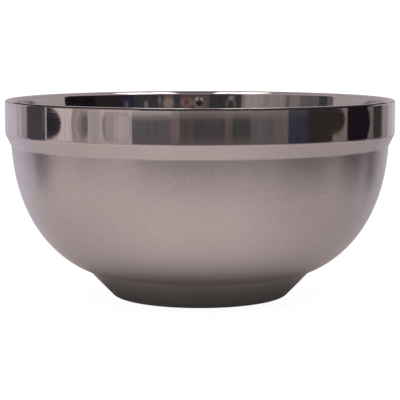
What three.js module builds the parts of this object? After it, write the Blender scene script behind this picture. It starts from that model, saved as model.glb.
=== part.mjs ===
// Double-wall stainless steel shaving bowl: a mirror-polished liner whose rim is rolled over the
// mouth of a brushed outer shell, a bead of sealant inside that rolled rim, and a disc that closes
// the underside of the foot. Millimetres, +Z up, origin on the table at the centre of the foot.
import * as THREE from "three";

// ---- driving dimensions -------------------------------------------------------------------------
const SHEET = 0.5; // thickness of every sheet-metal wall
const CLEARANCE = 0.1; // between two pieces that touch on the real bowl
const SEGMENTS = 56; // facets round the axis, the same for every piece

const HEIGHT = 58.5; // table to the crest of the rim
const RIM_RADIUS = 57.5; // outside of the rim and of the polished band
const RIM_WIDTH = 2.5; // of the rim where the liner is rolled over, from its wall to the band
const RIM_INNER_CORNER = 1.2;
const RIM_OUTER_CORNER = 0.6;

const BAND_BOTTOM_Z = 48.65; // the band ends here and the sloping step begins
const BAND_CORNER = 2;
const STEP_BOTTOM = new THREE.Vector2(55.7, 45); // foot of the sloping step, top of the body
const STEP_CORNER = 1.5;
const BODY_TOP_LEAN = 4; // degrees that the body leans in just under the step
const BODY_TOP_PULL = 23.8; // how far the body's curve follows that lean

const FOOT_TOP = new THREE.Vector2(33.4, 8); // crease between the body and the foot
const FOOT_CREASE = 1.5;
const BODY_END_LEAN = 69.5; // degrees from vertical where the body meets the foot
const BODY_END_PULL = 9;
const FOOT_BOTTOM_RADIUS = 25.7; // where the cone would meet the table without its rounded edge
const FOOT_CORNER = 2.5;
const FOOT_FLAT_INNER = 21; // inner edge of the flat ring that the bowl stands on
const RECESS_CORNER = 0.8;
const RECESS_Z = 1.8; // underside of the ledge that the disc is welded to
const LEDGE_INNER = 17.5; // radius of the opening in the shell's bottom

const LINER_FLOOR_Z = 10.5; // top of the liner's flat floor
const LINER_FLOOR_RADIUS = 19;
const LINER_FLOOR_PULL = 21.5; // how far the liner's curve runs on along the floor
const LINER_WALL_LEAN = 4.5; // degrees that the liner's wall leans in under the rim
const LINER_WALL_PULL = 25;

const DISC_DISH = 0.6; // how far the disc's middle is pressed up
const DISC_DISH_RADIUS = 11;
const DISC_SLOPE = 2; // radial run of the pressed slope

const WALL_TOP = new THREE.Vector2(RIM_RADIUS - RIM_WIDTH, HEIGHT - RIM_INNER_CORNER);
const SKIRT_LENGTH = 1.5; // how far the rolled rim comes down outside, from its crest
const SKIRT_END_Z = HEIGHT - SKIRT_LENGTH;
// The shell's mouth steps in by one sheet and a clearance to stand inside the rolled rim.
const TONGUE_RADIUS = RIM_RADIUS - SHEET - CLEARANCE;
const TONGUE_TOP_Z = SKIRT_END_Z + 0.4;
const SHOULDER_Z = SKIRT_END_Z - CLEARANCE; // top of the band, just below the rolled rim's edge
const SHOULDER_RISE = 0.1; // from the band up to the tongue
const SEALANT_HEIGHT = 0.9; // at its sides
const SEALANT_CROWN = 0.15; // how far its middle stands above its sides

// ---- outlines -----------------------------------------------------------------------------------
// An outline is a Path in the (radius, height) half-plane that follows one face of a sheet.
const CHORD_TURN = THREE.MathUtils.degToRad(22.5); // most that an arc turns from chord to chord
const CURVE_STEPS = 12; // chords on a bezier curve

// A step of this length down a wall that leans in, on the way down, by so many degrees.
function downTheWall(degrees, length) {
  const angle = THREE.MathUtils.degToRad(degrees);
  return new THREE.Vector2(-Math.sin(angle), -Math.cos(angle)).multiplyScalar(length);
}

// Goes straight towards a corner, and round it with an arc that ends heading for the next point.
function roundCorner(path, corner, next, radius) {
  const arriving = corner.clone().sub(path.currentPoint).normalize();
  const leaving = next.clone().sub(corner).normalize();
  const turn = Math.atan2(arriving.cross(leaving), arriving.dot(leaving));
  const cut = radius * Math.tan(Math.abs(turn) / 2);
  const side = Math.sign(turn);
  const towardsCentre = new THREE.Vector2(-arriving.y, arriving.x).multiplyScalar(side);
  const start = corner.clone().addScaledVector(arriving, -cut);
  const centre = start.clone().addScaledVector(towardsCentre, radius);
  const startAngle = towardsCentre.clone().negate().angle();
  path.lineTo(start.x, start.y);
  path.absarc(centre.x, centre.y, radius, startAngle, startAngle + turn, side < 0);
}

function chords(curve) {
  if (curve.isLineCurve) return 1;
  if (!curve.isEllipseCurve) return CURVE_STEPS;
  return Math.max(2, Math.round(Math.abs(curve.aEndAngle - curve.aStartAngle) / CHORD_TURN));
}

// The points of a path, each once.
function outlinePoints(path) {
  const points = [];
  for (const curve of path.curves) {
    for (const point of curve.getPoints(chords(curve))) {
      const last = points.at(-1);
      if (!last || last.distanceTo(point) > 0.01) points.push(point);
    }
  }
  return points;
}

// A sheet's closed section: one face's points, and the same points set off to the other face.
// side is 1 when the metal lies on the left of the outline's direction, and -1 on the right.
function sheetSection(face, side) {
  const last = face.length - 1;
  const heading = (i) => face[i + 1].clone().sub(face[i]).normalize();
  const otherFace = face.map((point, i) => {
    const arriving = heading(Math.max(i - 1, 0));
    const along = heading(Math.min(i, last - 1)).add(arriving).normalize();
    const reach = (side * SHEET) / along.dot(arriving); // longer where the sheet turns
    return new THREE.Vector2(-along.y, along.x).multiplyScalar(reach).add(point);
  });
  return [...face, ...otherFace.reverse()];
}

// Turns a section round the +Z axis. A section that doesn't touch the axis is closed on itself.
function turned(section) {
  const points = section.map((p) => new THREE.Vector2(Math.abs(p.x) < 1e-6 ? 0 : p.x, p.y));
  if (points[0].x > 0) points.push(points[0].clone());
  if (THREE.ShapeUtils.isClockWise(points)) points.reverse();
  return new THREE.LatheGeometry(points, SEGMENTS).rotateX(Math.PI / 2);
}

// ---- pieces -------------------------------------------------------------------------------------
// Outer shell, drawn in one piece: ledge, recess, foot, body, step, band and the tongue in the rim.
function outerShell() {
  const path = new THREE.Path();
  const recessTop = new THREE.Vector2(FOOT_FLAT_INNER, RECESS_Z);
  const flatInner = new THREE.Vector2(FOOT_FLAT_INNER, 0);
  const flatOuter = new THREE.Vector2(FOOT_BOTTOM_RADIUS, 0);
  path.moveTo(LEDGE_INNER, RECESS_Z);
  roundCorner(path, recessTop, flatInner, RECESS_CORNER);
  roundCorner(path, flatInner, flatOuter, RECESS_CORNER);
  roundCorner(path, flatOuter, FOOT_TOP, FOOT_CORNER);

  const bodyTop = STEP_BOTTOM.clone().add(downTheWall(BODY_TOP_LEAN, 1));
  const highPull = STEP_BOTTOM.clone().add(downTheWall(BODY_TOP_LEAN, BODY_TOP_PULL));
  const lowPull = FOOT_TOP.clone().sub(downTheWall(BODY_END_LEAN, BODY_END_PULL));
  roundCorner(path, FOOT_TOP, lowPull, FOOT_CREASE);
  path.bezierCurveTo(lowPull.x, lowPull.y, highPull.x, highPull.y, bodyTop.x, bodyTop.y);

  const bandBottom = new THREE.Vector2(RIM_RADIUS, BAND_BOTTOM_Z);
  const bandTop = new THREE.Vector2(RIM_RADIUS, SHOULDER_Z);
  roundCorner(path, STEP_BOTTOM, bandBottom, STEP_CORNER);
  roundCorner(path, bandBottom, bandTop, BAND_CORNER);
  path.lineTo(bandTop.x, bandTop.y);
  path.lineTo(TONGUE_RADIUS, SHOULDER_Z + SHOULDER_RISE);
  path.lineTo(TONGUE_RADIUS, TONGUE_TOP_Z);
  return turned(sheetSection(outlinePoints(path), 1));
}

// Liner, drawn in one piece: flat floor, wall, and the rim rolled out and over the shell's mouth.
function innerBowl() {
  const path = new THREE.Path();
  const wallPull = WALL_TOP.clone().add(downTheWall(LINER_WALL_LEAN, LINER_WALL_PULL));
  const rimInner = new THREE.Vector2(WALL_TOP.x, HEIGHT);
  const rimOuter = new THREE.Vector2(RIM_RADIUS, HEIGHT);
  const skirtEnd = new THREE.Vector2(RIM_RADIUS, SKIRT_END_Z);
  path.moveTo(0, LINER_FLOOR_Z);
  path.lineTo(LINER_FLOOR_RADIUS, LINER_FLOOR_Z);
  path.bezierCurveTo(
    LINER_FLOOR_RADIUS + LINER_FLOOR_PULL, LINER_FLOOR_Z,
    wallPull.x, wallPull.y,
    WALL_TOP.x, WALL_TOP.y,
  );
  roundCorner(path, rimInner, rimOuter, RIM_INNER_CORNER);
  roundCorner(path, rimOuter, skirtEnd, RIM_OUTER_CORNER);
  path.lineTo(skirtEnd.x, skirtEnd.y);
  return turned(sheetSection(outlinePoints(path), -1));
}

// Sealant in the rolled rim's hollow, between the liner's wall and the shell's tongue.
function rimSealant() {
  const inner = WALL_TOP.x + SHEET + CLEARANCE;
  const outer = TONGUE_RADIUS - SHEET - CLEARANCE;
  const bottom = TONGUE_TOP_Z - SEALANT_HEIGHT;
  return turned([
    new THREE.Vector2(inner, bottom),
    new THREE.Vector2(outer, bottom),
    new THREE.Vector2(outer, TONGUE_TOP_Z),
    new THREE.Vector2((inner + outer) / 2, TONGUE_TOP_Z + SEALANT_CROWN),
    new THREE.Vector2(inner, TONGUE_TOP_Z),
  ]);
}

// Disc that closes the foot, seated against the ledge from below, its middle pressed up.
function baseDisc() {
  const edge = FOOT_FLAT_INNER - SHEET - RECESS_CORNER / 2;
  const top = RECESS_Z - CLEARANCE;
  const path = new THREE.Path();
  path.moveTo(0, top + DISC_DISH);
  path.lineTo(DISC_DISH_RADIUS, top + DISC_DISH);
  path.lineTo(DISC_DISH_RADIUS + DISC_SLOPE, top);
  path.lineTo(edge, top);
  return turned(sheetSection(outlinePoints(path), -1));
}

// ---- materials ----------------------------------------------------------------------------------
const brushedSteel = new THREE.MeshStandardMaterial({ color: 0xa89d9c, roughness: 0.38, metalness: 1 });
const mirrorSteel = new THREE.MeshStandardMaterial({ color: 0xc4bab8, roughness: 0.06, metalness: 1 });
const satinSteel = new THREE.MeshStandardMaterial({ color: 0x9c9493, roughness: 0.5, metalness: 1 });
const sealant = new THREE.MeshStandardMaterial({ color: 0xe6e4de, roughness: 0.7, metalness: 0 });

// ---- assembly -----------------------------------------------------------------------------------
const bowl = new THREE.Group();

function addPiece(name, geometry, material) {
  const mesh = new THREE.Mesh(geometry, material);
  mesh.name = name;
  bowl.add(mesh);
}

addPiece("outer_shell", outerShell(), brushedSteel);
addPiece("inner_bowl", innerBowl(), mirrorSteel);
addPiece("rim_sealant", rimSealant(), sealant);
addPiece("base_disc", baseDisc(), satinSteel);

export default bowl;
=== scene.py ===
"""Looks of the double-wall steel shaving bowl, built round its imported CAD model.

Metres, in the CAD's own frame: origin on the table at the centre of the foot, +Z up.
Outlines are written in millimetres as (radius, height) and turned round the Z axis.
"""
import math

import bpy
import numpy as np
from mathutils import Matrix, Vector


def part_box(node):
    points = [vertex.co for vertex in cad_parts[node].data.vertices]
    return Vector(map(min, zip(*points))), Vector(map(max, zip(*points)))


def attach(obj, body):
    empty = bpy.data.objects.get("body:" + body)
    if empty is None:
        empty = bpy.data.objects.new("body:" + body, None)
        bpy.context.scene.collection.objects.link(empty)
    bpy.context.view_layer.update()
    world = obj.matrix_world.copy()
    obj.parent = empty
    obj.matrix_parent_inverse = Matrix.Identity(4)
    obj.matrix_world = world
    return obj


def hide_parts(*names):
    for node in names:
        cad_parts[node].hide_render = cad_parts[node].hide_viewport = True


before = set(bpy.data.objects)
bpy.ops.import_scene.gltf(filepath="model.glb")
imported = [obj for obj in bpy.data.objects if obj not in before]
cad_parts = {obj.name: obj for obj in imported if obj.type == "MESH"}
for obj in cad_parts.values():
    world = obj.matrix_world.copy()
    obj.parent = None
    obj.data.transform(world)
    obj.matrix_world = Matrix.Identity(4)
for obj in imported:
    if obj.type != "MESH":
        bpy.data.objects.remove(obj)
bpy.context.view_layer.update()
MM = 0.001

# ---- sizes, from the frame where it holds them, in millimetres ----------------------------------
RIM_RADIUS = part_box("inner_bowl")[1].x / MM
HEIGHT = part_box("inner_bowl")[1].z / MM
LINER_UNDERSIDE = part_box("inner_bowl")[0].z / MM
DISC_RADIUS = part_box("base_disc")[1].x / MM
DISC_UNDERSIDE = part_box("base_disc")[0].z / MM
DISC_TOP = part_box("base_disc")[1].z / MM
SEALANT_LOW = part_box("rim_sealant")[0].z / MM
SEALANT_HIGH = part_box("rim_sealant")[1].z / MM
SEALANT_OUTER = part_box("rim_sealant")[1].x / MM

SHEET = 0.5
RIM_WIDTH = 2.5  # of the rolled rim, from the liner's wall to the band
RIM_INNER_ROUNDING = 1.2
RIM_OUTER_ROUNDING = 0.6
CREST_TURN = 10.0  # degrees that the gentle arch of the rim's crest turns to either side
SEAM = 0.01  # gap, at the outside, between the rolled rim's edge and the shell's shoulder
SEAM_Z = HEIGHT - 1.5
CLEARANCE = 0.1  # between pieces that touch in the real bowl
SHOULDER_RISE = 0.05  # from the band in to the tongue: it takes the shoulder 0.03 into the rim's hidden edge
TONGUE_RADIUS = RIM_RADIUS - SHEET - CLEARANCE
TONGUE_TOP = HEIGHT - 1.1

BAND_BOTTOM = (RIM_RADIUS, 48.65)
BAND_CORNER = 2.0
BAND_SOFT_FROM, BAND_SOFT_TO = 48.25, 49.4  # the polish softens into the brushing between these heights
BAND_INNER = TONGUE_RADIUS + 0.2  # faces further in than this are not polished
STEP_BOTTOM = (55.7, 45.0)
STEP_CORNER = 1.5
STEP_ROOM = 1.0  # the body's curve ends this far below the step's corner, to leave room for its rounding
BODY_TOP_LEAN, BODY_TOP_PULL = 4.0, 23.8
FOOT_TOP = (33.4, 8.0)
FOOT_CREASE = 0.8
BODY_END_LEAN, BODY_END_PULL = 69.5, 9.0
FOOT_BOTTOM_RADIUS = 25.7
FOOT_CORNER = 2.5
FOOT_FLAT_INNER = 21.0
RECESS_CORNER = 0.8
RECESS_Z = 1.8
LEDGE_INNER = 17.5

LINER_FLOOR_RADIUS, LINER_FLOOR_PULL = 19.0, 21.5
LINER_WALL_LEAN, LINER_WALL_PULL = 4.5, 25.0

SEALANT_ROUNDING = 0.15
SEALANT_CHORD = 0.3

DISC_DISH_RADIUS = 11.0
DISC_SLOPE = 2.0
DISC_BEND = 2.0
DISC_CHAMFER = 0.1

SEGMENTS = 288
CHORD = 0.7  # longest chord on a visible face
HIDDEN_CHORD = 2.4  # and on a face inside the double wall
END_STEP = 0.05  # a curve, and a straight of six times this or more, starts and ends with a step this short
ARC_STEP = 9  # most degrees in one step of an arc
ARC_FINENESS = 3  # an arc's steps are this many times shorter than the chord, or more
SAME_POINT = 1e-4  # points closer than this are one
ON_AXIS = 1e-6  # points closer than this to the axis are on it
SHARP_FROM = 40  # degrees between two faces from which their edge stays sharp


# ---- outlines -----------------------------------------------------------------------------------
class Outline:
    """A line of (radius, height) points along one face of a sheet."""

    def __init__(self, start, chord):
        self.points = [np.array(start, float)]
        self.chord = chord

    def line(self, end):
        """Straight on, with a short step at each end so that a rounding's shading stays on it."""
        start, end = self.points[-1], np.array(end, float)
        length = np.linalg.norm(end - start)
        steps = max(1, math.ceil(length / self.chord))
        shares = [i / steps for i in range(1, steps + 1)]
        if length > 6 * END_STEP:
            shares = sorted({*shares, END_STEP / length, 1 - END_STEP / length})
        self.points += [start + (end - start) * share for share in shares]

    def arc(self, centre, half_axes, first, last):
        """An elliptical arc, from the first to the last angle in degrees."""
        turn = abs(last - first)
        arc_length = math.radians(turn) * max(half_axes)
        steps = math.ceil(max(turn / ARC_STEP, arc_length / self.chord * ARC_FINENESS))
        for angle in np.radians(np.linspace(first, last, steps + 1)):
            point = np.array(centre) + np.array(half_axes) * (math.cos(angle), math.sin(angle))
            if np.linalg.norm(point - self.points[-1]) > SAME_POINT:
                self.points.append(point)

    def corner(self, corner, towards, radius):
        """Straight towards a corner, and round it with an arc that ends heading for towards."""
        corner, towards = np.array(corner, float), np.array(towards, float)
        arriving = unit(corner - self.points[-1])
        leaving = unit(towards - corner)
        turn = math.atan2(cross(arriving, leaving), arriving @ leaving)
        start = corner - arriving * radius * math.tan(abs(turn) / 2)
        side = math.copysign(1, turn)
        inwards = np.array((-arriving[1], arriving[0])) * side
        centre = start + inwards * radius
        first = math.degrees(math.atan2(-inwards[1], -inwards[0]))
        self.line(start)
        self.arc(centre, (radius, radius), first, first + math.degrees(turn))

    def curve(self, pull_1, pull_2, end):
        """A cubic Bezier curve."""
        a, b, c, d = self.points[-1], np.array(pull_1), np.array(pull_2), np.array(end, float)
        reach = np.linalg.norm(b - a) + np.linalg.norm(c - b) + np.linalg.norm(d - c)
        ends = [END_STEP / (3 * np.linalg.norm(b - a)), 1 - END_STEP / (3 * np.linalg.norm(d - c))]
        for t in sorted([*np.linspace(0, 1, math.ceil(reach / self.chord) + 1)[1:], *ends]):
            s = 1 - t
            self.points.append(s**3 * a + 3 * s * s * t * b + 3 * s * t * t * c + t**3 * d)


def unit(v):
    return v / np.linalg.norm(v)


def cross(a, b):
    return a[0] * b[1] - a[1] * b[0]


def down_the_wall(start, degrees, length):
    """The point this far down a wall that leans in, on the way down, by so many degrees."""
    angle = math.radians(degrees)
    return np.array(start) - np.array((math.sin(angle), math.cos(angle))) * length


def set_off(points, distance):
    """The points moved sideways, to the left of their direction."""
    points = np.array(points)
    along = np.gradient(points, axis=0)
    along /= np.linalg.norm(along, axis=1, keepdims=True)
    return points + np.stack((-along[:, 1], along[:, 0]), 1) * distance


# ---- turned meshes ------------------------------------------------------------------------------
def turned(name, section, polished=None):
    """A closed section of (radius, height) points turned round the Z axis, as a smooth mesh.

    polished(point) says which rings take the mesh's second material.
    """
    section = [p for i, p in enumerate(section) if i == 0 or np.linalg.norm(p - section[i - 1]) > SAME_POINT]
    on_axis = section[0][0] < ON_AXIS and section[-1][0] < ON_AXIS
    turns = np.linspace(0, 2 * math.pi, SEGMENTS, endpoint=False)
    vertices, rings = [], []
    for radius, height in section:
        if radius < ON_AXIS:
            rings.append([len(vertices)] * SEGMENTS)
            vertices.append((0, 0, height * MM))
        else:
            rings.append(list(range(len(vertices), len(vertices) + SEGMENTS)))
            vertices += [(radius * math.cos(a) * MM, radius * math.sin(a) * MM, height * MM) for a in turns]
    faces, finishes = [], []
    count = len(section)
    for i in range(count - 1 if on_axis else count):
        j = (i + 1) % count
        middle = (np.array(section[i]) + np.array(section[j])) / 2
        finish = int(bool(polished and polished(middle)))
        for a in range(SEGMENTS):
            b = (a + 1) % SEGMENTS
            corners = (rings[i][a], rings[i][b], rings[j][b], rings[j][a])
            faces.append(tuple(dict.fromkeys(corners)))
            finishes.append(finish)
    area = sum(cross(section[i], section[(i + 1) % count]) for i in range(count))
    if area < 0:
        faces = [f[::-1] for f in faces]
    mesh = bpy.data.meshes.new(name)
    mesh.from_pydata(vertices, [], faces)
    mesh.polygons.foreach_set("material_index", finishes)
    mesh.polygons.foreach_set("use_smooth", [True] * len(faces))
    mesh.set_sharp_from_angle(angle=math.radians(SHARP_FROM))
    piece = bpy.data.objects.new(name, mesh)
    bpy.context.scene.collection.objects.link(piece)
    return piece


# ---- pieces -------------------------------------------------------------------------------------
def crest_arch():
    """The centre and radius of the crest's arch, which meets the rim's two roundings smoothly."""
    turn = math.radians(CREST_TURN)
    across, up = math.sin(turn), math.cos(turn)
    roundings = RIM_INNER_ROUNDING + RIM_OUTER_ROUNDING
    radius = (RIM_WIDTH - roundings * (1 - across)) / (2 * across)
    middle = RIM_RADIUS - RIM_OUTER_ROUNDING - (radius - RIM_OUTER_ROUNDING) * across
    return (middle, HEIGHT - radius), radius


def shell_outline(chord):
    """The shell's outside, from the ledge under the foot up to the tongue in the rolled rim."""
    line = Outline((LEDGE_INNER, RECESS_Z), chord)
    line.corner((FOOT_FLAT_INNER, RECESS_Z), (FOOT_FLAT_INNER, 0), RECESS_CORNER)
    line.corner((FOOT_FLAT_INNER, 0), (FOOT_BOTTOM_RADIUS, 0), RECESS_CORNER)
    line.corner((FOOT_BOTTOM_RADIUS, 0), FOOT_TOP, FOOT_CORNER)
    low_pull = down_the_wall(FOOT_TOP, BODY_END_LEAN, -BODY_END_PULL)
    high_pull = down_the_wall(STEP_BOTTOM, BODY_TOP_LEAN, BODY_TOP_PULL)
    line.corner(FOOT_TOP, low_pull, FOOT_CREASE)
    line.curve(low_pull, high_pull, down_the_wall(STEP_BOTTOM, BODY_TOP_LEAN, STEP_ROOM))
    line.corner(STEP_BOTTOM, BAND_BOTTOM, STEP_CORNER)
    shoulder = SEAM_Z - SEAM
    line.corner(BAND_BOTTOM, (RIM_RADIUS, shoulder), BAND_CORNER)
    line.line((RIM_RADIUS, shoulder))
    line.line((TONGUE_RADIUS, shoulder + SHOULDER_RISE))
    line.line((TONGUE_RADIUS, TONGUE_TOP))
    return line.points


def outer_shell():
    outside = shell_outline(CHORD)
    inside = set_off(shell_outline(HIDDEN_CHORD), SHEET)

    def in_band(point):
        return point[1] > BAND_SOFT_FROM and point[0] > BAND_INNER

    return turned("outer_shell_skin", [*outside, *inside[::-1]], in_band)


def liner_outline(chord):
    """The liner's mirror side, from the middle of its floor over the rim to the seam."""
    floor = LINER_UNDERSIDE + SHEET
    line = Outline((0, floor), chord)
    line.line((LINER_FLOOR_RADIUS, floor))
    arch, radius = crest_arch()
    turn = math.radians(CREST_TURN)
    inner = radius - RIM_INNER_ROUNDING
    outer = radius - RIM_OUTER_ROUNDING
    inner_centre = (arch[0] - inner * math.sin(turn), arch[1] + inner * math.cos(turn))
    outer_centre = (arch[0] + outer * math.sin(turn), arch[1] + outer * math.cos(turn))
    wall_top = (RIM_RADIUS - RIM_WIDTH, inner_centre[1])
    wall_pull = down_the_wall(wall_top, LINER_WALL_LEAN, LINER_WALL_PULL)
    line.curve((LINER_FLOOR_RADIUS + LINER_FLOOR_PULL, floor), wall_pull, wall_top)
    line.arc(inner_centre, (RIM_INNER_ROUNDING, RIM_INNER_ROUNDING), 180, 90 + CREST_TURN)
    line.arc(arch, (radius, radius), 90 + CREST_TURN, 90 - CREST_TURN)
    line.arc(outer_centre, (RIM_OUTER_ROUNDING, RIM_OUTER_ROUNDING), 90 - CREST_TURN, 0)
    line.line((RIM_RADIUS, SEAM_Z))
    return line.points


def inner_bowl():
    inside = liner_outline(CHORD)
    underside = set_off(inside, -SHEET)
    underside[0][0] = 0
    return turned("inner_bowl_liner", [*inside, *underside[::-1]])


def rim_sealant():
    inner = RIM_RADIUS - RIM_WIDTH + SHEET + CLEARANCE
    middle = (inner + SEALANT_OUTER) / 2
    half = (SEALANT_OUTER - inner) / 2
    side_low, side_high = SEALANT_LOW + SEALANT_ROUNDING, SEALANT_HIGH - SEALANT_ROUNDING
    line = Outline((SEALANT_OUTER, side_low), SEALANT_CHORD)
    line.line((SEALANT_OUTER, side_high))
    line.arc((middle, side_high), (half, SEALANT_ROUNDING), 0, 180)
    line.line((inner, side_low))
    line.arc((middle, side_low), (half, SEALANT_ROUNDING), 180, 360)
    return turned("rim_sealant_bead", line.points[:-1])


def base_disc():
    seat = DISC_UNDERSIDE + SHEET
    dish_top, dish_foot = (DISC_DISH_RADIUS, DISC_TOP), (DISC_DISH_RADIUS + DISC_SLOPE, seat)
    line = Outline((0, DISC_TOP), CHORD)
    line.corner(dish_top, dish_foot, DISC_BEND)
    line.corner(dish_foot, (DISC_RADIUS, seat), DISC_BEND)
    line.line((DISC_RADIUS - DISC_CHAMFER, seat))
    line.line((DISC_RADIUS, seat - DISC_CHAMFER))
    line.line((DISC_RADIUS, DISC_UNDERSIDE + DISC_CHAMFER))
    face = line.points[:-2]
    under = set_off(face, -SHEET)
    under[0][0] = 0
    return turned("base_disc_plate", [*line.points, *under[:-1][::-1]])


# ---- node helpers -------------------------------------------------------------------------------
class Nodes:
    """A material's node tree, with short ways to add and join nodes."""

    def __init__(self, name):
        self.material = bpy.data.materials.new(name)
        self.material.use_nodes = True
        self.tree = self.material.node_tree
        self.shader = self.tree.nodes["Principled BSDF"]

    def add(self, kind, inputs=(), **settings):
        node = self.tree.nodes.new(kind)
        for key, value in settings.items():
            setattr(node, key, value)
        for socket, value in dict(inputs).items():
            if isinstance(value, bpy.types.NodeSocket):
                self.tree.links.new(value, node.inputs[socket])
            else:
                node.inputs[socket].default_value = value
        return node

    def math(self, operation, a, b=0.0):
        return self.add("ShaderNodeMath", {0: a, 1: b}, operation=operation).outputs[0]

    def turned_place(self, across, around):
        """Coordinates that run finely along the outline and slowly round the Z axis, with no seam.

        across is features per metre along the outline, and around is features per radian.
        """
        place = self.add("ShaderNodeTexCoord").outputs["Object"]
        flat = self.add("ShaderNodeVectorMath", {0: place, 1: (1, 1, 0)}, operation="MULTIPLY").outputs[0]
        radius = self.add("ShaderNodeVectorMath", {0: flat}, operation="LENGTH").outputs["Value"]
        towards = self.add("ShaderNodeVectorMath", {0: flat}, operation="NORMALIZE").outputs[0]
        ring = self.add("ShaderNodeVectorMath", {0: towards, "Scale": around}, operation="SCALE").outputs[0]
        height = self.add("ShaderNodeSeparateXYZ", {0: place}).outputs["Z"]
        along = self.math("MULTIPLY", self.math("ADD", radius, height), across)
        lift = self.add("ShaderNodeCombineXYZ", {"Z": along}).outputs[0]
        return self.add("ShaderNodeVectorMath", {0: ring, 1: lift}, operation="ADD").outputs[0]

    def streaks(self, across, around):
        """Noise drawn out into lines round the axis, from 0 to 1."""
        place = self.turned_place(across, around)
        inputs = {"Vector": place, "Scale": 1.0, "Detail": 2.0, "Roughness": 0.6}
        return self.add("ShaderNodeTexNoise", inputs).outputs[0]

    def waves(self, scale):
        """Soft noise with no direction, from 0 to 1."""
        place = self.add("ShaderNodeTexCoord").outputs["Object"]
        inputs = {"Vector": place, "Scale": scale, "Detail": 1.0, "Roughness": 0.4}
        return self.add("ShaderNodeTexNoise", inputs).outputs[0]

    def span(self, value, low, high, from_low=0.3, from_high=0.7):
        """The value brought from one range to another. The range it comes from is usually a noise's."""
        inputs = {"Value": value, "From Min": from_low, "From Max": from_high}
        return self.add("ShaderNodeMapRange", {**inputs, "To Min": low, "To Max": high}).outputs[0]

    def height(self):
        """Metres above the table."""
        place = self.add("ShaderNodeTexCoord").outputs["Object"]
        return self.add("ShaderNodeSeparateXYZ", {0: place}).outputs["Z"]

    def mix(self, factor, colour_a, colour_b):
        node = self.add("ShaderNodeMix", data_type="RGBA")
        self.tree.links.new(factor, node.inputs["Factor"])
        node.inputs[6].default_value = (*colour_a, 1)
        node.inputs[7].default_value = (*colour_b, 1)
        return node.outputs[2]

    def bump(self, layers):
        """Bumps of (height socket, depth in metres), one on another, into the shader."""
        normal = None
        for height, depth in layers:
            inputs = {"Height": height, "Strength": 1.0, "Distance": depth}
            if normal is not None:
                inputs["Normal"] = normal
            normal = self.add("ShaderNodeBump", inputs).outputs[0]
        self.tree.links.new(normal, self.shader.inputs["Normal"])

    def link(self, socket, value):
        self.tree.links.new(value, self.shader.inputs[socket])

    def settings(self, **values):
        for socket, value in values.items():
            self.shader.inputs[socket.replace("_", " ")].default_value = value

    def shine(self, colour, strength):
        """Light in place of the shader."""
        self.tree.nodes.remove(self.shader)
        light = self.add("ShaderNodeEmission", {"Color": colour, "Strength": strength})
        self.tree.links.new(light.outputs[0], self.tree.nodes["Material Output"].inputs[0])

    def brushed_round_the_axis(self, amount):
        """Highlights spread along the outline, across the brushing."""
        tangent = self.add("ShaderNodeTangent", direction_type="RADIAL", axis="Z").outputs[0]
        self.link("Tangent", tangent)
        self.shader.inputs["Anisotropic"].default_value = amount
        self.shader.inputs["Anisotropic Rotation"].default_value = 0.25  # a quarter turn


def shade(colour, factor):
    return tuple(c * factor for c in colour)


def fill_ramp(node, stops):
    """Gives a colour ramp these (position, colour) stops."""
    while len(node.color_ramp.elements) < len(stops):
        node.color_ramp.elements.new(0.5)
    for element, (position, colour) in zip(node.color_ramp.elements, stops, strict=True):
        element.position = position
        element.color = (*colour, 1)


# ---- finishes -----------------------------------------------------------------------------------
STEEL = (0.636, 0.582, 0.569)
POLISH = 0.035, 0.075  # least and most roughness of the mirror polish
SOFTENING = 0.24  # how much rougher the band is at its lower edge
BURNISH = 0.84  # and how bright its steel is there
MICRON = 1e-6


def brushed_steel():
    n = Nodes("brushed_steel")
    n.settings(Metallic=1.0)
    fine = n.streaks(across=4000, around=60)
    medium = n.streaks(across=2600, around=12)
    broad = n.streaks(across=500, around=2.5)
    n.link("Base Color", n.mix(n.span(fine, 0.0, 1.0), shade(STEEL, 0.91), shade(STEEL, 1.09)))
    uneven = n.math("ADD", n.math("MULTIPLY", medium, 0.6), n.math("MULTIPLY", broad, 0.4))
    n.link("Roughness", n.span(uneven, low=0.27, high=0.36))
    n.bump([(fine, 10 * MICRON), (medium, 5 * MICRON)])
    n.brushed_round_the_axis(amount=0.8)
    return n.material


def mirror_polish(name):
    """Nodes with the mirror polish's buffing waves, and its colour and roughness for the caller to link."""
    n = Nodes(name)
    n.settings(Metallic=1.0)
    haze = n.streaks(across=1500, around=3)
    n.bump([(n.waves(scale=60), 20 * MICRON)])
    return n, n.mix(haze, shade(STEEL, 1.05), shade(STEEL, 1.15)), n.span(haze, *POLISH)


def mirror_steel():
    n, steel, roughness = mirror_polish("mirror_steel")
    n.link("Base Color", steel)
    n.link("Roughness", roughness)
    return n.material


def band_steel():
    """The mirror polish of the band, which softens into the brushing at the band's lower edge."""
    n, steel, roughness = mirror_polish("band_steel")
    height = n.height()
    soft = n.span(height, SOFTENING, 0.0, BAND_SOFT_FROM * MM, BAND_SOFT_TO * MM)
    burnish = n.span(height, BURNISH, 1.0, BAND_SOFT_FROM * MM, BAND_SOFT_TO * MM)
    toned = n.add("ShaderNodeVectorMath", {0: steel, "Scale": burnish}, operation="SCALE").outputs[0]
    n.link("Base Color", toned)
    n.link("Roughness", n.math("ADD", roughness, soft))
    return n.material


def satin_steel():
    n = Nodes("satin_steel")
    n.settings(Metallic=1.0)
    rings = n.streaks(across=3000, around=1.5)
    n.link("Base Color", n.mix(rings, shade(STEEL, 0.8), shade(STEEL, 0.95)))
    n.link("Roughness", n.span(rings, low=0.38, high=0.52))
    n.bump([(rings, 10 * MICRON)])
    n.brushed_round_the_axis(amount=0.5)
    return n.material


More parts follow.
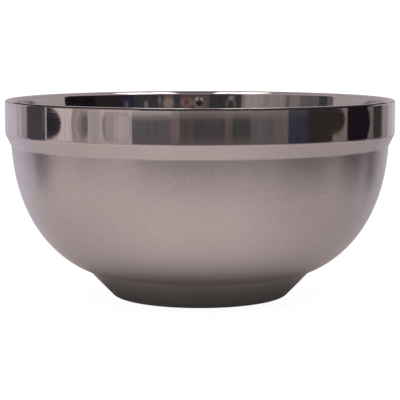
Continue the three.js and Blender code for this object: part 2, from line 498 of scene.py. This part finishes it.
def sealant():
    n = Nodes("sealant")
    n.settings(Roughness=0.6)
    lumps = n.streaks(across=900, around=40)
    n.link("Base Color", n.mix(lumps, (0.72, 0.7, 0.66), (0.82, 0.8, 0.76)))
    n.bump([(lumps, 50 * MICRON)])
    return n.material


# ---- the bowl -----------------------------------------------------------------------------------
def place(piece, node, slot, *materials):
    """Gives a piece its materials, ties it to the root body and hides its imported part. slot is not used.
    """
    for material in materials:
        piece.data.materials.append(material)
    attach(piece, "root")
    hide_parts(node)


place(outer_shell(), "outer_shell", "brushed_steel", brushed_steel(), band_steel())
place(inner_bowl(), "inner_bowl", "mirror_steel", mirror_steel())
place(rim_sealant(), "rim_sealant", "sealant", sealant())
place(base_disc(), "base_disc", "satin_steel", satin_steel())

# ---- stage --------------------------------------------------------------------------------------
# The bowl stands on a white floor in even white light. What its polished metal mirrors is set apart
# from that, as flags and paper are round a real mirror: a table top, a dim room of upright cards in
# front, pale paper behind and soft lamps above. Those show in reflections and nowhere else.
# The table top and the cards glow though they are no lamps: their light and their shade are painted.
scene = bpy.context.scene
scene.view_settings.view_transform = "Standard"
ROOM_LIGHT = 0.786  # brightness of everything that is only mirrored
WHITE = 1.1  # brightness of the white light all round
LAVENDER = (0.74, 0.69, 0.79)
WARM = (1, 0.88, 0.88)  # tint of the light that the low cards fade into


def add_mesh(name, points, faces, material):
    mesh = bpy.data.meshes.new(name)
    mesh.from_pydata(points, [], faces)
    mesh.materials.append(material)
    obj = bpy.data.objects.new(name, mesh)
    scene.collection.objects.link(obj)
    return obj


def only_reflected(obj):
    obj.visible_camera = False
    obj.visible_diffuse = False
    obj.visible_shadow = False
    obj.visible_transmission = False


def disc(radii, steps=96):
    """Points and faces of a flat disc about the origin, with rings at these radii."""
    turns = [2 * math.pi * i / steps for i in range(steps)]
    points = [(0, 0, 0)] + [(r * math.cos(t), r * math.sin(t), 0) for r in radii for t in turns]
    faces = [(0, 1 + i, 1 + (i + 1) % steps) for i in range(steps)]
    for k in range(1, len(radii)):
        outer, inner = 1 + k * steps, 1 + (k - 1) * steps
        for i in range(steps):
            j = (i + 1) % steps
            faces.append((inner + i, outer + i, outer + j, inner + j))
    return points, faces


def glow(name, colour, strength=1.0, top=None, foot=None):
    """A material that shines evenly apart from soft upright folds.

    top and foot are the brightness of the light that its upper and lower edges fade into.
    """
    n = Nodes(name)
    place = n.add("ShaderNodeTexCoord").outputs["Object"]
    drawn = n.add("ShaderNodeVectorMath", {0: place, 1: (1, 1, 0.2)}, operation="MULTIPLY").outputs[0]
    folds = n.add("ShaderNodeTexNoise", {"Vector": drawn, "Scale": 110.0, "Detail": 3.0}).outputs[0]
    tone = n.mix(n.span(folds, 0.0, 1.0), shade(colour, 0.85), shade(colour, 1.15))
    height = n.add("ShaderNodeSeparateXYZ", {0: place}).outputs["Z"]
    for value, (start, end) in ((top, STRIP_FADE), (foot, FOOT_FADE)):
        if value:
            blend = n.add("ShaderNodeMix", data_type="RGBA")
            n.tree.links.new(n.span(height, 0.0, 1.0, start * MM, end * MM), blend.inputs["Factor"])
            n.tree.links.new(tone, blend.inputs[6])
            blend.inputs[7].default_value = (*shade(WARM, value), 1)
            tone = blend.outputs[2]
    n.shine(tone, strength * ROOM_LIGHT)
    return n.material


def card(name, left, right, low, high, material, distance, round_left=0.0, round_right=0.0):
    """An upright card that follows a circle round the bowl.

    left and right are directions in degrees from the camera's side (-Y) towards +X, low and high are
    heights in millimetres, and an end may be rounded off over so many degrees.
    """
    quarter = np.linspace(0, math.pi / 2, 7)
    ends = [left + round_left * (1 - math.cos(t)) for t in quarter]
    ends += [right - round_right * (1 - math.sin(t)) for t in quarter]
    body_steps = max(2, math.ceil((right - left) / CARD_STEP))
    body = np.linspace(left + round_left, right - round_right, body_steps)
    directions = sorted(set(np.round([*ends, *body], 4)))
    points = []
    for direction in directions:
        reach = 1.0
        if round_left and direction < left + round_left:
            reach = math.sqrt(max(0, 1 - ((left + round_left - direction) / round_left) ** 2))
        if round_right and direction > right - round_right:
            reach = math.sqrt(max(0, 1 - ((direction - right + round_right) / round_right) ** 2))
        angle, middle, half = math.radians(direction), (low + high) / 2, (high - low) / 2 * reach
        place = (distance * math.sin(angle), -distance * math.cos(angle))
        points += [(*place, (middle - half) * MM), (*place, (middle + half) * MM)]
    faces = [(i, i + 2, i + 3, i + 1) for i in range(0, len(points) - 2, 2)]
    only_reflected(add_mesh(name, points, faces, material))


# Cards side by side: directions, colour, and the brightness of the strip of light over each.
LOW_ROW = [
    ("far_left_paper", -121, -113, (0.60, 0.55, 0.61), None),
    ("left_paper_edge", -113, -107, (0.43, 0.40, 0.44), None),
    ("grey_door", -107, -89, (0.085, 0.08, 0.095), None),
    ("white_wall", -89, -69, (0.78, 0.68, 0.68), 0.84),
    ("cream_wall", -69, -58.5, (0.50, 0.43, 0.43), 0.58),
    ("pale_wall", -58.5, -51.5, (0.54, 0.47, 0.48), 0.58),
    ("sofa_back", -51.5, -34, (0.62, 0.54, 0.56), 0.82),
    ("slate_curtain", -34, -14, (0.14, 0.135, 0.155), 0.74),
    ("brown_shelf", -14, -10, (0.24, 0.18, 0.18), 0.48),
    ("dim_shelf", -10, -3.5, (0.12, 0.092, 0.092), 0.38),
    ("dim_corner", -3.5, 12, (0.088, 0.076, 0.08), 0.35),
    ("brown_box", 12, 16, (0.15, 0.12, 0.12), 0.37),
    ("grey_coat", 16, 25, (0.075, 0.075, 0.078), 0.36),
    ("dim_wall", 25, 32, (0.16, 0.145, 0.14), 0.32),
    ("blue_grey_wall", 32, 37, (0.15, 0.14, 0.16), 0.31),
    ("grey_wall", 37, 45, (0.19, 0.165, 0.165), 0.30),
    ("navy_curtain", 45, 56, (0.05, 0.055, 0.09), 0.11),
    ("dark_panelling", 56, 72, (0.042, 0.034, 0.032), 0.05),
    ("lit_gap", 72, 83, (0.28, 0.23, 0.21), 0.32),
    ("black_cabinet", 83, 101, (0.018, 0.011, 0.018), None),
    ("cabinet_edge", 101, 107.5, (0.20, 0.18, 0.17), None),
    ("dark_frame", 107.5, 117.5, (0.052, 0.05, 0.052), None),
    ("frame_edge", 117.5, 120, (0.22, 0.19, 0.20), None),
    ("right_paper", 120, 129, (0.42, 0.37, 0.38), None),
    ("far_right_paper", 129, 138, (0.63, 0.58, 0.62), None),
]
# The cards over them: directions and colour.
HIGH_ROW = [
    ("post_edge", -106, -100.5, (0.17, 0.155, 0.155)),
    ("dark_post", -100.5, -92.5, (0.065, 0.062, 0.068)),
    ("grey_shelf", -92.5, -76, (0.17, 0.15, 0.155)),
    ("light_shelf", -76, -68, (0.28, 0.24, 0.24)),
    ("shelf_gap", -68, -64.5, (0.18, 0.16, 0.15)),
    ("paper_roll", -64.5, -47, (0.36, 0.31, 0.315)),
    ("paper_front", -47, -33, (0.42, 0.37, 0.38)),
    ("paper_edge", -33, -30.5, (0.27, 0.24, 0.25)),
    ("dark_doorway", -30.5, -7, (0.05, 0.05, 0.055)),
    ("dark_red_case", -7, -2.5, (0.13, 0.095, 0.095)),
    ("dim_middle", -2.5, 5, (0.09, 0.08, 0.08)),
    ("dim_shelf_end", 5, 14, (0.10, 0.075, 0.075)),
    ("dark_gap", 14, 19.5, (0.055, 0.055, 0.06)),
    ("lamp_wall", 19.5, 26, (0.15, 0.125, 0.125)),
    ("dim_gap", 26, 32, (0.07, 0.062, 0.066)),
    ("dark_shelves", 32, 49, (0.05, 0.05, 0.055)),
    ("navy_banner", 49, 60, (0.03, 0.03, 0.055)),
    ("dark_wood", 60, 80, (0.03, 0.022, 0.024)),
    ("black_panel", 80, 108, (0.013, 0.009, 0.014)),
]
RING = 0.25  # radius, in metres, of the circle of cards
SKIRTING_RING = 0.17  # and of the low things close to the bowl
LAYER = 0.0005  # from one card to the next in front of it
CARD_STEP = 4  # degrees of a card's middle between two of its corners
END_SHARE = 0.45  # of its width, over which a small thing's end is rounded
FOOT_LEFT, FOOT_RIGHT, FOOT_TONE = -34, 45, 0.17  # which low cards have a paler foot, and how bright
STRIP_FADE = (44.5, 47.8)  # heights over which a low card's top fades into the strip of light
FOOT_FADE = (38.5, 33.0)  # and its lower edge into a paler foot
STRIP_TOP, ROOM_TOP = 52, 170

for name, left, right, colour, top in LOW_ROW:
    foot = FOOT_TONE if FOOT_LEFT <= left < FOOT_RIGHT else None
    card(name, left, right, 0, STRIP_TOP, glow(name, colour, top=top, foot=foot), RING)
for name, left, right, colour in HIGH_ROW:
    card(name, left, right, STRIP_TOP, ROOM_TOP, glow(name, colour), RING)

# Things that stand in front of the cards, one before another: directions, heights, roundings, colour.
FRONT_THINGS = [
    ("door_strip", -91.5, -89.8, 37, 46, 0, 0, (0.14, 0.13, 0.14)),
    ("chair_back", -88, -76.5, 34, 48, 0, 11.5, (0.03, 0.03, 0.036)),
    # The panel's inner layers are painted shade, darker towards its right; the cushion's lightest layer is
    # painted light.
    ("panel_rim", -69.5, -58.5, 34.5, 47.6, 3, 1, (0.38, 0.32, 0.33)),
    ("panel_face", -68.3, -58.5, 35.4, 46.8, 3, 1, (0.46, 0.40, 0.39)),
    ("panel_shade", -65.5, -58.5, 36, 46.3, 3, 1, (0.32, 0.28, 0.29)),
    ("panel_fold", -62.5, -58.5, 36.8, 45.6, 2, 1, (0.19, 0.17, 0.175)),
    ("cushion_rim", -50.2, -34.5, 35, 47.2, 3, 2, (0.34, 0.30, 0.31)),
    ("cushion_face", -48.4, -34.8, 35.6, 46.6, 3, 2, (0.48, 0.42, 0.43)),
    ("cushion_light", -43.5, -35.2, 36, 46, 4, 2, (0.60, 0.52, 0.54)),
    ("bolster", 70, 81, 37, 49, 0, 9, (0.04, 0.033, 0.031)),
    ("cabinet_side", 97, 103.5, 34, 48, 0, 6, (0.016, 0.010, 0.016)),
]
for layer, (name, *extent, round_left, round_right, colour) in enumerate(FRONT_THINGS, 1):
    card(name, *extent, glow(name, colour), RING - LAYER * layer, round_left, round_right)

# Small things high in the room, one before another: directions, heights, colour. All have round ends.
HIGH_THINGS = [
    ("lamp_glass", 18.8, 27.6, 96.5, 116, (0.21, 0.17, 0.165)),
    ("lamp_bulb", 20.5, 26.5, 98.5, 114, (0.34, 0.25, 0.22)),
    ("red_bowl", 5.2, 14.4, 96.5, 116, (0.23, 0.14, 0.13)),
    ("red_bowl_middle", 8.2, 11.4, 100, 110, (0.13, 0.075, 0.07)),
    ("dial_rim", -3.2, 5.0, 98.5, 117, (0.24, 0.21, 0.205)),
    ("dial_face", -2.4, 3.3, 101.5, 113.5, (0.012, 0.011, 0.013)),
    ("dial_light_1", 1.4, 3.2, 97.6, 101.2, (0.80, 0.74, 0.75)),
    ("dial_light_2", -2.2, -0.4, 97.6, 101.2, (0.80, 0.74, 0.75)),
    ("pale_jar", 38.4, 41.4, 99.5, 112, (0.28, 0.23, 0.235)),
    ("pale_bottle", 28.6, 31.0, 93.5, 109, (0.19, 0.17, 0.17)),
    ("blue_cup", 53.8, 56.8, 96, 106, (0.14, 0.14, 0.165)),
    ("arch", -27.0, -18.5, 97.5, 116, (0.14, 0.125, 0.125)),
    ("arch_opening", -24.8, -20.4, 101, 118, (0.05, 0.046, 0.046)),
    ("arch_light", -25.4, -20.6, 93.5, 98.5, (0.36, 0.32, 0.33)),
]
for layer, (name, left, right, low, high, colour) in enumerate(HIGH_THINGS, 1):
    rounding = (right - left) * END_SHARE
    card(name, left, right, low, high, glow(name, colour), RING - LAYER * layer, rounding, rounding)

# Low dark things close to the bowl, which only the body under the step mirrors: directions, height, colour.
SKIRTING = [
    ("door_foot", -103, -91, 13, (0.05, 0.045, 0.05)),
    ("shelf_foot", -14, 8, 6, (0.25, 0.22, 0.22)),
    ("curtain_foot", 40, 66, 9, (0.15, 0.13, 0.14)),
    ("cabinet_foot", 84, 99, 13, (0.07, 0.055, 0.06)),
    ("frame_foot", 106, 118, 14, (0.03, 0.03, 0.03)),
]
for name, left, right, high, colour in SKIRTING:
    card(name, left, right, 0, high, glow(name, colour), SKIRTING_RING)


# The table top's brightness, by distance from its middle as a share of TABLE_REACH. Its dark middle is a
# painted shadow of the bowl.
TABLE_TONES = [(0.0, 0.03), (0.10, 0.045), (0.13, 0.10), (0.16, 0.42), (0.20, 0.76), (0.26, 0.86)]
TABLE_TONES += [(0.42, 0.88), (0.60, 0.86), (0.74, 0.72), (0.86, 0.50), (1.0, 0.36)]
TABLE_REACH = 0.25
TABLE_TINT = (1, 0.89, 0.875)
TABLE_Z, FLOOR_Z = 0.00005, -0.0001  # just over and just under the height of the foot's flat ring
SIDE_PAINTED_SHADE = 0.27  # painted shade: how much dimmer the table top is to either side of the bowl


def table_top():
    """What the underside, the body and the step mirror: bright near the bowl, dark under it with a painted
    shadow of the bowl, dimmer beside it with painted shade, brighter on the left with painted light,
    greyer towards the front of the room, and pale lavender paper behind.
    """
    n = Nodes("table_top")
    place = n.add("ShaderNodeTexCoord").outputs["Object"]
    radius = n.add("ShaderNodeVectorMath", {0: place}, operation="LENGTH").outputs["Value"]
    side = n.add("ShaderNodeSeparateXYZ", {0: place})
    # painted shadow: the ramp of tones is darkest under the bowl
    ramp = n.add("ShaderNodeValToRGB", {0: n.span(radius, 0.0, 1.0, 0.0, TABLE_REACH)})
    fill_ramp(ramp, [(position, shade(TABLE_TINT, tone)) for position, tone in TABLE_TONES])
    to_the_back = n.span(side.outputs["Y"], 0.0, 1.0, 0.0, 0.06)
    outwards = n.span(radius, 0.0, 1.0, 0.06, 0.12)
    behind = n.add("ShaderNodeMix", {"Factor": n.math("MULTIPLY", to_the_back, outwards)}, data_type="RGBA")
    n.tree.links.new(ramp.outputs[0], behind.inputs[6])
    behind.inputs[7].default_value = (*LAVENDER, 1)
    # painted light: the table top is brighter on the left of the bowl than on its right
    painted_light_from_left = n.span(side.outputs["X"], 1.06 * ROOM_LIGHT, 0.80 * ROOM_LIGHT, -0.1, 0.16)
    off_centre = n.math("DIVIDE", n.math("ABSOLUTE", side.outputs["X"]), n.math("MAXIMUM", radius, 0.001))
    # painted shade beside the bowl: dimmer near it and off to either side
    clear_of_foot = n.span(radius, 0.0, 1.0, 0.038, 0.050)
    near_bowl = n.span(radius, 1.0, 0.0, 0.080, 0.15)
    beside = n.math("MULTIPLY", clear_of_foot, near_bowl)
    painted_shade_beside = n.math("MULTIPLY", n.span(off_centre, 0.0, SIDE_PAINTED_SHADE, 0.3, 1.0), beside)
    n.shine(behind.outputs[2], n.math("MULTIPLY", painted_light_from_left, n.math("SUBTRACT", 1.0, painted_shade_beside)))
    points, faces = disc([0.03, 0.06, 0.12, 0.3])
    table = add_mesh("table_top", points, faces, n.material)
    table.location.z = TABLE_Z
    only_reflected(table)


# Sizes of what hangs over the bowl, in metres but for SHADE_RISE.
LAMP_HEIGHT, LAMP_FRONT, LAMP_BACK, LAMPS_MEET = 0.15, -0.06, 0.07, 0.088
LAMP_COLOUR, LAMP_STRENGTH = (1, 0.98, 0.96), 3.0
CEILING_HEIGHT = 0.253
CEILING_COLOUR = (0.18, 0.155, 0.155)
SHADE_RADII = 0.0546, 0.0662  # of the dark strip over the front of the rim
SHADE_RISE = 5  # millimetres over the rim
SHADE_TURN, SHADE_STEP = 84, 4  # degrees to either side of the front, and between its corners
SHADE_COLOUR = (0.06, 0.052, 0.052)


def level(name, left, right, front, back, height, material):
    """A level sheet overhead, seen only in reflections."""
    corners = [(left, front), (left, back), (right, back), (right, front)]
    points = [(x, y, height) for x, y in corners]
    only_reflected(add_mesh(name, points, [(0, 1, 2, 3)], material))


def lamp(name, inner, outer):
    """A fan of light between two lines that meet over the back of the bowl.

    inner and outer are how far each line moves sideways for its way to the front.
    """
    ways = [(inner, LAMP_FRONT), (inner, LAMP_BACK), (outer, LAMP_BACK), (outer, LAMP_FRONT)]
    points = [(lean * (LAMPS_MEET - y), y, LAMP_HEIGHT) for lean, y in ways]
    only_reflected(add_mesh(name, points, [(0, 1, 2, 3)], glow(name, LAMP_COLOUR, LAMP_STRENGTH)))


def overhead():
    """Two pairs of lamps over the bowl, and a patch of dim ceiling over them."""
    lamp("wide_right_lamp", inner=0.335, outer=0.72)
    lamp("slim_right_lamp", inner=0.17, outer=0.30)
    lamp("slim_left_lamp", inner=-0.10, outer=-0.20)
    lamp("wide_left_lamp", inner=-0.225, outer=-0.50)
    ceiling = glow("dim_ceiling", CEILING_COLOUR)
    level("dim_ceiling", -0.07, 0.07, front=-0.16, back=0.13, height=CEILING_HEIGHT, material=ceiling)


def rim_shade():
    """A dark strip just over the front of the rim, which gives the rim's rounding its dark line."""
    turns = [math.radians(t) for t in range(-SHADE_TURN, SHADE_TURN + 1, SHADE_STEP)]
    points = [(r * math.sin(t), -r * math.cos(t), 0) for t in turns for r in SHADE_RADII]
    faces = [(i, i + 1, i + 3, i + 2) for i in range(0, len(points) - 2, 2)]
    strip = add_mesh("rim_shade", points, faces, glow("rim_shade", SHADE_COLOUR))
    strip.location.z = (HEIGHT + SHADE_RISE) * MM
    only_reflected(strip)


def floor():
    """White floor with a very faint shadow near the bowl, which fades into the white all round."""
    n = Nodes("floor")
    n.settings(Roughness=0.9, Base_Color=(0.9, 0.9, 0.9, 1), Specular_IOR_Level=0.1)
    place = n.add("ShaderNodeTexCoord").outputs["Object"]
    radius = n.add("ShaderNodeVectorMath", {0: place}, operation="LENGTH").outputs["Value"]
    far = n.span(radius, 0.85, 1.0, from_low=0.06, from_high=0.6)
    white = n.add("ShaderNodeEmission", {"Color": (1, 1, 1, 1), "Strength": WHITE})
    blend = n.add("ShaderNodeMixShader", {0: far, 1: n.shader.outputs[0], 2: white.outputs[0]})
    n.tree.links.new(blend.outputs[0], n.tree.nodes["Material Output"].inputs[0])
    points, faces = disc([0.3, 0.8, 2, 5, 8])
    ground = add_mesh("floor", points, faces, n.material)
    ground.location.z = FLOOR_Z
    ground.visible_glossy = False


# What the metal mirrors past the cards, by how far up it looks.
SKY_TONES = [(0.0, LAVENDER), (0.06, (0.56, 0.50, 0.52)), (0.55, (0.56, 0.51, 0.54))]
SKY_TONES += [(0.80, (0.50, 0.45, 0.46)), (1.0, (0.36, 0.32, 0.32))]


def surroundings():
    """White light all round, and softer greys where the polished metal mirrors it."""
    world = bpy.data.worlds.new("studio")
    scene.world = world
    world.use_nodes = True
    nodes, links = world.node_tree.nodes, world.node_tree.links
    white = nodes["Background"]
    white.inputs["Color"].default_value = (1, 1, 1, 1)
    white.inputs["Strength"].default_value = WHITE
    direction = nodes.new("ShaderNodeTexCoord")
    split = nodes.new("ShaderNodeSeparateXYZ")
    ramp = nodes.new("ShaderNodeValToRGB")
    links.new(direction.outputs["Generated"], split.inputs[0])
    links.new(split.outputs["Z"], ramp.inputs[0])
    fill_ramp(ramp, SKY_TONES)
    mirrored = nodes.new("ShaderNodeBackground")
    mirrored.inputs["Strength"].default_value = ROOM_LIGHT
    links.new(ramp.outputs[0], mirrored.inputs["Color"])
    path = nodes.new("ShaderNodeLightPath")
    choose = nodes.new("ShaderNodeMixShader")
    links.new(path.outputs["Is Glossy Ray"], choose.inputs[0])
    links.new(white.outputs[0], choose.inputs[1])
    links.new(mirrored.outputs[0], choose.inputs[2])
    links.new(choose.outputs[0], nodes["World Output"].inputs[0])


floor()
surroundings()
table_top()
overhead()
rim_shade()

# ---- camera -------------------------------------------------------------------------------------
CAMERA_PLACE = (0, -0.447, 0.0785)
CAMERA_PITCH = 6.42  # degrees down
camera_data = bpy.data.cameras.new("camera")
camera = bpy.data.objects.new("camera", camera_data)
scene.collection.objects.link(camera)
camera.location = CAMERA_PLACE
camera.rotation_euler = (math.radians(90 - CAMERA_PITCH), 0, 0)
camera_data.lens = 135.4
camera_data.sensor_width = 36
scene.camera = camera

# The polished inside mirrors itself many times over.
MIRRORINGS = 24
scene.cycles.max_bounces = MIRRORINGS
scene.cycles.glossy_bounces = MIRRORINGS
